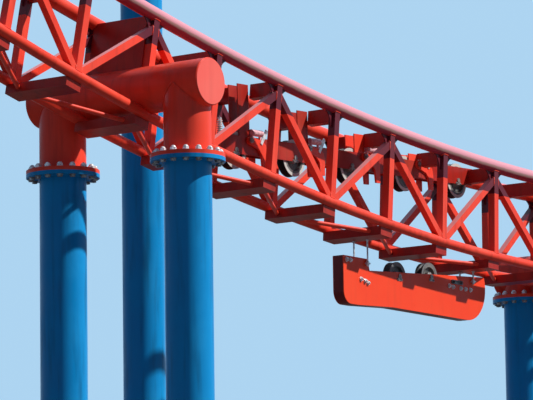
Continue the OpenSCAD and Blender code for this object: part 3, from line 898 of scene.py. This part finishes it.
half = track["height"] / 2
sides = (-track["width"] / 2, track["width"] / 2)
tubeLoops = []
for k in range(track["first"], track["last"] + 1):
    for y in sides:
        for height, pipe in ((half, track["rail"]), (-half, track["chord"])):
            if k == 1 and height < 0:  # no bead on the lower chords at the first portal
                continue
            width = track["post"] + weldLines["postWider"]
            loop = postLoop(y, width, pipe / 2 + weldLines["pipeProud"], height)
            tubeLoops.append([framePoint(k, *point) for point in loop])

# a diagonal runs from the lower chord at an even frame to below the rail at an odd one
diagonalEnds = (-half, half - track["diagonalDrop"])


def diagonalLoop(k, other, y):
    # where the diagonal from frame k to the other frame meets the flat side of frame k's post
    here = diagonalEnds[k % 2]
    start = framePoint(k, 0.0, y, here)
    end = framePoint(other, 0.0, y, diagonalEnds[other % 2])
    turn = frameTurn(k)
    run = (end - start).dot(Vector((math.cos(turn), 0, -math.sin(turn))))
    climb = (end - start).dot(Vector((math.sin(turn), 0, math.cos(turn))))
    size = track["diagonal"] + weldLines["diagonalWider"]
    cut = size / 2 * math.hypot(run, climb) / abs(run)
    x = math.copysign(track["post"] / 2 + weldLines["faceProud"], run)
    middle = here + climb / run * x
    corners = [(y - size / 2, -cut), (y + size / 2, -cut), (y + size / 2, cut), (y - size / 2, cut)]
    return [framePoint(k, x, across, middle + rise) for across, rise in corners]


for k in range(track["first"], track["last"]):
    for y in sides:
        tubeLoops.append(diagonalLoop(k, k + 1, y))
        tubeLoops.append(diagonalLoop(k + 1, k, y))
bakePiece("tubeWelds", lineMesh("tubeLoops", tubeLoops), weldBead, {**tubeBead, "Seed": 11},
          "redPaint")

# six bolts on each side of the hub of every sheave
hubBolts = {
    "Count": 6, "Ring Radius": 0.058, "First Turn": 0.0, "Seed": 13, "Nut Radius": 0.011,
    "Nut Height": 0.004, "Washer Radius": 0.013, "Washer Height": 0.001, "Stud Radius": 0.005,
    "Stud Height": 0.004, "Dome Radius": 0.003,
}
upperSheaves = [name for name in nodes if name.startswith("sheave_") and isSheave(name)]
lowerSheaves = [name for name in nodes if name.startswith("low_sheave_")]
for sheave in upperSheaves + lowerSheaves:
    middle = middleOf(sheave)
    places = [Vector((middle.x, corner.y, middle.z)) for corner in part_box(sheave)]
    bakePiece("hubBolts_" + sheave, pointMesh("hub", places, bothSides), boltRing, hubBolts,
              "zinc", sheave + "_wheel")

# a keeper plate under each end of every axle
keepers = {
    "Length": 0.13, "Width": 0.036, "Thickness": 0.008, "Corner": 0.008, "Bolt Gap": 0.09, "Seed": 17,
    "Nut Radius": 0.011, "Nut Height": 0.009, "Washer Radius": 0.013, "Washer Height": 0.002,
    "Stud Radius": 0.006, "Stud Height": 0.013, "Dome Radius": 0.006,
}
beamFace = 0.083  # the outer faces of beam and housing, from the middle line
housingFace = 0.09
keeperDrop = 0.046
places = []
for names, face in ((upperSheaves, beamFace), (lowerSheaves, housingFace)):
    for name in names:
        places += [middleOf(name) + Vector((0, side * face, -keeperDrop)) for side in (-1, 1)]
bakePiece("axleKeepers", pointMesh("axles", places, bothSides * (len(places) // 2)), keeper, keepers,
          "dullZinc")

# a nut on each end of every lever pin
pinNuts = {
    "Seed": 19, "Nut Radius": 0.034, "Nut Height": 0.018, "Washer Radius": 0.04, "Washer Height": 0.005,
    "Stud Radius": 0.014, "Stud Height": 0.024, "Dome Radius": 0.014,
}
pins = {"along": 0.3, "above": 0.15, "reach": 0.128}
alongBeam, aboveBeam = beamAxes()
places = []
for name in upperSheaves[:-1]:
    pin = middleOf(name) + alongBeam * pins["along"] + aboveBeam * pins["above"]
    places += [pin + Vector((0, side * pins["reach"], 0)) for side in (-1, 1)]
bakePiece("pinNuts", pointMesh("pins", places, bothSides * (len(places) // 2)), boltSpots, pinNuts,
          "dullZinc")

# bolts on both sides of the guide housing, and a small dark lever plate among them
housingBolts = {
    "Seed": 23, "Nut Radius": 0.028, "Nut Height": 0.02, "Washer Radius": 0.034, "Washer Height": 0.005,
    "Stud Radius": 0.012, "Stud Height": 0.034, "Dome Radius": 0.012,
}
leverPlate = {
    "Length": 0.3, "Width": 0.06, "Thickness": 0.012, "Corner": 0.02, "Bolt Gap": 0.2, "Seed": 29,
    "Nut Radius": 0.02, "Nut Height": 0.014, "Washer Radius": 0.025, "Washer Height": 0.003,
    "Stud Radius": 0.01, "Stud Height": 0.022, "Dome Radius": 0.01,
}
housingSpots = [
    (5.34, 7.555), (5.44, 7.536), (5.51, 7.515), (4.99, 7.8), (5.08, 7.8),
    (7.62, 7.67), (7.72, 7.66), (7.93, 7.66), (8.06, 7.66), (8.19, 7.66),
]
leverSpots = [(7.83, 7.74)]


def onHousing(name, spots):
    places = [Vector((x, track["side"] + side * housingFace, z)) for x, z in spots for side in (-1, 1)]
    return pointMesh(name, places, bothSides * len(spots))


bakePiece("housingBolts", onHousing("housingSpots", housingSpots), boltSpots, housingBolts,
          "zinc")
bakePiece("housingLevers", onHousing("housingLeverSpots", leverSpots), keeper, leverPlate,
          "darkSteel")

# nuts that lock the hanger rods above and below their lugs and under the bottom ties
rodNuts = {
    "Seed": 31, "Nut Radius": 0.022, "Nut Height": 0.018, "Washer Radius": 0.026, "Washer Height": 0.003,
    "Stud Radius": 0.0125, "Stud Height": 0.022, "Dome Radius": 0.0125,
}
hangers = {
    "frames": (5, 7),
    "across": 0.115,
    "lugTop": 7.795,
    "lug": 0.02,
    "tieUnder": -0.8575,  # from the middle line to the underside of a bottom tie
    "gap": 0.002,
}
places = []
for k in hangers["frames"]:
    middle = framePoint(k)
    for across in (-hangers["across"], hangers["across"]):
        underTie = framePoint(k, 0.0, across, hangers["tieUnder"]).z - hangers["gap"]
        for height in (hangers["lugTop"], hangers["lugTop"] - hangers["lug"], underTie):
            places.append(Vector((middle.x, middle.y + across, height)))
bakePiece("rodNuts", pointMesh("rods", places, [up, down, down] * (len(places) // 3)), boltSpots, rodNuts,
          "zinc")

# dished washers on a short rod on each plate of the beam, at its uphill end
springs = {
    "Count": 7, "Step": 0.026, "Disc Radius": 0.042, "Disc Height": 0.012, "Disc Sides": 20,
    "Top Share": 0.7, "Rod Sides": 12, "Rod Base": -0.004, "Seed": 37, "Nut Radius": 0.024,
    "Nut Height": 0.018, "Washer Radius": 0.03, "Washer Height": 0.004, "Stud Radius": 0.013,
    "Stud Height": 0.032, "Dome Radius": 0.013,
}
springPlace = {"along": -0.345, "across": 0.0755, "lift": 0.005}
end = Vector(beamLine["start"]) + alongBeam * springPlace["along"] + aboveBeam * beamLine["plateTop"]
places = [end + Vector((0, side * springPlace["across"], springPlace["lift"])) for side in (-1, 1)]
bakePiece("beamEndSprings", pointMesh("beamEnds", places, [up, up]), springStack, springs,
          "zinc")

# a plain pale floor, just under the feet
ground = {
    "centre": (6.0, 1.2, -0.002),
    "reach": 150.0,
    "cells": 8,
    "roughness": 0.9,
    "cloudScale": 0.5,
    "cloudEdges": (0.3, 0.7),
    "cloudShare": 0.3,
    "pale": (0.66, 0.66, 0.64, 1),
    "cloud": (0.58, 0.58, 0.56, 1),
    "bounce": (0.12, 0.105, 0.1, 1),  # its colour to everything but the camera
}


def makeFloor():
    mesh = bpy.data.meshes.new("floor")
    builder = bmesh.new()
    bmesh.ops.create_grid(
        builder, x_segments=ground["cells"], y_segments=ground["cells"], size=ground["reach"],
        matrix=Matrix.Translation(ground["centre"]),
    )
    builder.to_mesh(mesh)
    builder.free()
    floor = bpy.data.objects.new("floor", mesh)
    scene.collection.objects.link(floor)
    material, tree, shader, place = startMaterial("floorPlain", Roughness=ground["roughness"])
    clouds = noise(tree, place, ground["cloudScale"], 3.0)
    share = ramp(tree, clouds, *ground["cloudEdges"], ground["cloudShare"])
    pale = mixColours(tree, share, ground["pale"], ground["cloud"])
    seen = addNode(tree, "ShaderNodeLightPath").outputs["Is Camera Ray"]
    tree.links.new(mixColours(tree, seen, ground["bounce"], pale), shader.inputs["Base Color"])
    mesh.materials.append(material)


# a clear sky, brighter to the camera and in reflections than as light on the object
sky = {
    "seen": (0.42, 0.66, 0.88, 1),
    "seenStrength": 1.0,
    "fill": (0.16, 0.28, 0.56, 1),
    "fillStrength": 0.28,
}


def makeSky():
    world = bpy.data.worlds.new("sky")
    scene.world = world
    world.use_nodes = True
    tree = world.node_tree
    tree.nodes.clear()
    rays = addNode(tree, "ShaderNodeLightPath").outputs
    seen = calc(tree, "MAXIMUM", rays["Is Camera Ray"], rays["Is Glossy Ray"])
    seen = calc(tree, "MAXIMUM", seen, rays["Is Transmission Ray"])
    fill = addNode(tree, "ShaderNodeBackground", {"Color": sky["fill"], "Strength": sky["fillStrength"]})
    clear = addNode(tree, "ShaderNodeBackground", {"Color": sky["seen"], "Strength": sky["seenStrength"]})
    both = addNode(tree, "ShaderNodeMixShader", {0: seen, 1: fill.outputs[0], 2: clear.outputs[0]})
    tree.links.new(both.outputs[0], addNode(tree, "ShaderNodeOutputWorld").inputs["Surface"])


sunLight = {
    "towards": (0.395, -0.586, 0.707),
    "strength": 4.85,
    "softness": 1.2,  # degrees
    "colour": (1.0, 0.97, 0.93),
}


def makeSun():
    lamp = bpy.data.lights.new("sun", "SUN")
    lamp.energy = sunLight["strength"]
    lamp.angle = math.radians(sunLight["softness"])
    lamp.color = sunLight["colour"]
    sun = bpy.data.objects.new("sun", lamp)
    sun.rotation_euler = Vector(sunLight["towards"]).to_track_quat("Z", "Y").to_euler()
    scene.collection.objects.link(sun)


# where the photograph was taken from, with angles in degrees and the lens in millimetres
view = {
    "place": (-34.267, -25.821, 1.538),
    "ahead": (0.81228, 0.58327),
    "pitch": 8.51,
    "roll": 0.829,
    "lens": 232.3,
    "sensor": 36.0,
    "reach": 400.0,
}


def makeCamera():
    data = bpy.data.cameras.new("camera")
    data.lens = view["lens"]
    data.sensor_width = view["sensor"]
    data.clip_end = view["reach"]
    camera = bpy.data.objects.new("camera", data)
    scene.collection.objects.link(camera)
    pitch = math.radians(view["pitch"])
    roll = math.radians(view["roll"])
    aheadX, aheadY = view["ahead"]
    ahead = Vector((aheadX * math.cos(pitch), aheadY * math.cos(pitch), math.sin(pitch)))
    right = Vector((aheadY, -aheadX, 0.0))
    above = right.cross(ahead)
    turnedRight = right * math.cos(roll) - above * math.sin(roll)
    turnedAbove = above * math.cos(roll) + right * math.sin(roll)
    rows = zip(turnedRight, turnedAbove, -ahead, view["place"])
    camera.matrix_world = Matrix((*rows, (0, 0, 0, 1)))
    scene.camera = camera


makeFloor()
makeSky()
makeSun()
makeCamera()
scene.view_settings.view_transform = "Standard"
print("stage: floor, sky, sun and camera")
